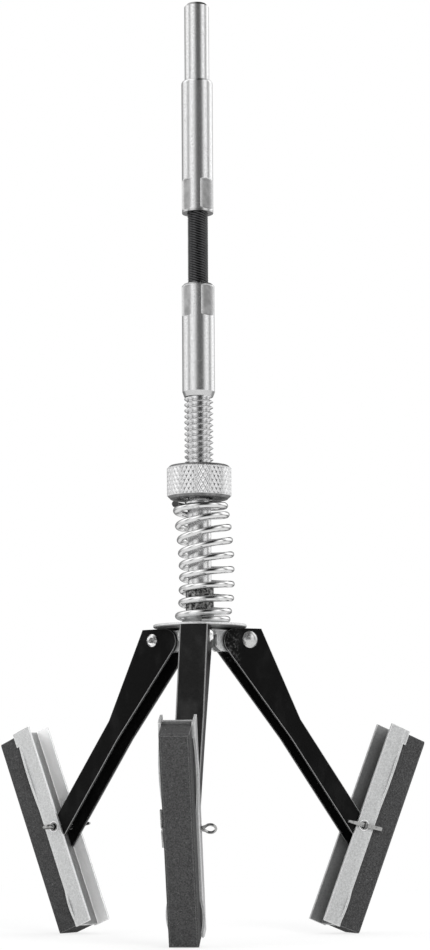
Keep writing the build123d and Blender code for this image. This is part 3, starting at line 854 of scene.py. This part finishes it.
def makePin(name, node, place, size):
    pin = copyNode(name, node)
    pin.matrix_world = place.inverted() @ pin.matrix_world
    settle(pin)
    pick(pin, "points", lambda point: point.co.y > size["eyeStart"] * mm)
    bpy.ops.transform.resize(value=(size["eyeSqueeze"], size["eyeStretch"], 1),
                             center_override=(0, size["eyeStart"] * mm, 0))
    pick(pin, "points", lambda point: point.co.y > size["thinFrom"] * mm)
    bpy.ops.transform.shrink_fatten(value=size["eyeThin"] * mm)
    run = size["legTip"] - size["legStart"]
    for side, tip in zip((-1, 1), size["tipWidths"]):
        for face in (-1, 1):
            slope = Vector((side * (size["legWidth"] - tip), 0, face * run)).normalized()
            start = Vector((side * size["legStart"], 0, face * size["legWidth"])) * mm
            bpy.ops.mesh.select_all(action="SELECT")
            bpy.ops.mesh.bisect(plane_co=start, plane_no=slope, use_fill=True, clear_outer=True)
    bpy.ops.object.mode_set(mode="OBJECT")
    pin.matrix_world = place
    settle(pin)
    tidyMesh(pin, 30)
    return pin


for number, turn in pinPlace["turns"].items():
    place = pinFrame(armAzimuth[number], turn)
    pin = makePin(f"cotterPin{number}", f"cotter_pin_{number}", place, pinSize)
    dress(pin, pinSteel)
    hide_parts(f"cotter_pin_{number}")
    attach(pin, f"cotter_pin_{number}")
    print("cotter pin", number, len(pin.data.polygons), "faces")


# CAD nodes that keep their shape

finishes = {"drive_shank": shankSteel, "pressure_plate": zincDisc, "spring_seat": zincPlate,
            "guide_sleeve": darkSleeve, "arm_bracket": zincPlate, "retaining_washer": zincPlate}
for number in armAzimuth:
    finishes[f"arm_{number}"] = blackPaint[number]
    finishes[f"pivot_rivet_{number}"] = rivetSteel[number]
    finishes[f"stone_holder_{number}"] = zincHolder[number]
    finishes[f"stone_{number}"] = abrasiveStone
for name, finish in finishes.items():
    for slot in frame["nodes"][name].material_slots:
        slot.link = "OBJECT"
        slot.material = finish
print("CAD nodes dressed", len(finishes))


# Camera

camera = {"azimuth": -84.459, "distance": 586.66, "height": -175.59, "pitch": 2.125, "roll": -0.316,
          "lens": 92.17, "shiftX": 0.01536, "shiftY": 0.25}
lookFrom = math.radians(camera["azimuth"])
cameraData = bpy.data.cameras.new("camera")
cameraData.sensor_fit = "AUTO"
cameraData.sensor_width = 36
cameraData.lens = camera["lens"]
cameraData.shift_x = camera["shiftX"]
cameraData.shift_y = camera["shiftY"]
cameraData.clip_start = 0.01
cameraData.clip_end = 50
cameraObject = bpy.data.objects.new("camera", cameraData)
bpy.context.collection.objects.link(cameraObject)
cameraObject.location = Vector((camera["distance"] * math.cos(lookFrom),
                                camera["distance"] * math.sin(lookFrom), camera["height"])) * mm
unrolled = Euler((math.radians(90 + camera["pitch"]), 0, lookFrom + math.pi / 2)).to_matrix()
roll = Matrix.Rotation(math.radians(camera["roll"]), 3, "Z")
cameraObject.rotation_euler = (unrolled @ roll).to_euler()
bpy.context.scene.camera = cameraObject
bpy.context.scene.view_settings.view_transform = "Standard"
print("camera set")


# Floor, lamps and world

studio = {"floor": -208.05, "floorSize": 6, "floorWhite": 0.66, "fadeStart": 0.12, "fadeEnd": 0.42,
          "dim": 0.16, "dimBehind": 0.6, "behindStart": -0.12, "behindEnd": -0.5,
          "worldLight": 0.62, "aimHeight": -0.12}
deselectAll()
bpy.ops.mesh.primitive_plane_add(size=studio["floorSize"], location=(0, 0, studio["floor"] * mm))
floor = bpy.context.object
settle(floor)
floor.name = "floor"
floorMaterial, nodes = newFinish("floorWhite")
rays = nodes.rays()
seen = nodes.add("ShaderNodeMath", {"operation": "MINIMUM"},
                 {0: rays["camera"] + rays["glossy"] + rays["transmission"], 1: 1.0})
cloudy = nodes.noise(nodes.place(), 3, 2)
matte = nodes.add("ShaderNodeBsdfDiffuse", sockets={"Color": nodes.mix(cloudy, shade(0.88), shade(0.9))})
# white where it is seen, and darker in the metal's reflections, most of all behind the hone
towards = nodes.dot(nodes.place(), direction(camera["azimuth"]))
behind = nodes.fade(towards, studio["behindStart"], studio["behindEnd"])
dimmed = rays["glossy"] * (studio["dim"] + behind * studio["dimBehind"])
glow = nodes.add("ShaderNodeEmission", sockets={"Color": nodes.mix(dimmed, shade(1), shade(0))})
away = nodes.fade(nodes.length(nodes.place()), studio["fadeStart"], studio["fadeEnd"])
whiteShare = studio["floorWhite"] + away * (1 - studio["floorWhite"])
surface = nodes.add("ShaderNodeMixShader", sockets={0: seen * whiteShare, 1: matte, 2: glow})
show(floorMaterial.node_tree, "Material Output", surface)
floor.data.materials.append(floorMaterial)
print("floor laid")

lamps = {
    "keyLamp": {"place": (0.45, -0.75, 0.25), "size": 0.4, "power": 5.5},
    "fillLamp": {"place": (-0.75, -0.5, 0.15), "size": 0.5, "power": 2.4},
    "topLamp": {"place": (0.05, 0.3, 0.8), "size": 0.7, "power": 4.0},
}
for name, lamp in lamps.items():
    data = bpy.data.lights.new(name, "AREA")
    data.size = lamp["size"]
    data.energy = lamp["power"]
    obj = bpy.data.objects.new(name, data)
    bpy.context.collection.objects.link(obj)
    obj.location = lamp["place"]
    aim = Vector((0, 0, studio["aimHeight"])) - Vector(lamp["place"])
    obj.rotation_euler = aim.to_track_quat("-Z", "Y").to_euler()
    obj.visible_glossy = False

world = bpy.data.worlds.new("studio")
bpy.context.scene.world = world
world.use_nodes = True
nodes = Nodes(world.node_tree)
facing = nodes.add("ShaderNodeVectorRotate", {"rotation_type": "Z_AXIS"},
                   {"Vector": nodes.add("ShaderNodeTexCoord", out=0), "Angle": -lookFrom})
ahead, right, upward = nodes.parts(facing)
angle = nodes.add("ShaderNodeMath", {"operation": "ARCTAN2"}, {0: right, 1: ahead})

# a ramp's levels end at 1, so these are divided by their top, and the boxes' strength makes up for it
topLevel = 2
# brightness by the angle to the camera's right, as soft boxes and gaps between them
bands = [(-180, 0.3), (-150, 0.3), (-132, 0.5), (-118, 1.0), (-104, 1.1), (-88, 1.15), (-80, 0.85),
         (-74, 0.45), (-66, 0.45), (-58, 1.0), (-46, 1.15), (-34, 1.05), (-20, 0.9), (40, 0.9), (54, 1.05),
         (66, 1.15), (76, 1.0), (84, 0.4), (93, 0.4), (102, 1.0), (118, 1.35), (140, 1.3), (152, 0.6),
         (165, 0.3), (180, 0.3)]
softBoxes = nodes.ramp(bands, -180, 180, angle / math.tau + 0.5, topLevel)
# by the height, brighter overhead
heights = [(-1, 0.5), (-0.2, 0.8), (0.0, 0.85), (0.32, 0.95), (0.5, 1.3), (0.9, 1.4), (1, 1.4)]
overhead = nodes.ramp(heights, -1, 1, upward * 0.5 + 0.5, topLevel)
# and by the reach to the side, with a dark strip in front that runs on overhead
strip = [(-0.5, 1.0), (-0.34, 0.8), (-0.2, 0.42), (-0.06, 0.2), (0.05, 0.155), (0.44, 0.155), (0.53, 0.24),
         (0.62, 0.55), (0.75, 1.0)]
darkStrip = nodes.ramp(strip, -1, 1, right * 0.5 + 0.5)
darkStrip = nodes.mix(nodes.fade(ahead, -0.5, -0.1), shade(1), darkStrip)
blackStrip = nodes.fade(right, -0.15, 0.05) * nodes.fade(right, 0.5, 0.4) * nodes.fade(upward, 0.35, 0.5)
darkStrip = nodes.mix(blackStrip, darkStrip, shade(0.02))
for factor in (overhead, darkStrip):
    softBoxes = nodes.add("ShaderNodeMix", {"data_type": "RGBA", "blend_type": "MULTIPLY"},
                          {0: 1.0, 6: softBoxes, 7: factor}, 2)
rays = nodes.rays()
plain = nodes.add("ShaderNodeBackground", sockets={"Color": shade(1), "Strength": studio["worldLight"]})
boxes = nodes.add("ShaderNodeBackground", sockets={"Color": softBoxes, "Strength": topLevel ** 2})
white = nodes.add("ShaderNodeBackground", sockets={"Color": shade(1), "Strength": 1.0})
mirrored = nodes.add("ShaderNodeMixShader", sockets={0: rays["glossy"], 1: plain, 2: boxes})
seenWhite = nodes.add("ShaderNodeMath", {"operation": "MAXIMUM"},
                      {0: rays["camera"], 1: rays["transmission"]})
sky = nodes.add("ShaderNodeMixShader", sockets={0: seenWhite, 1: mirrored, 2: white})
show(world.node_tree, "World Output", sky)
print("studio set")
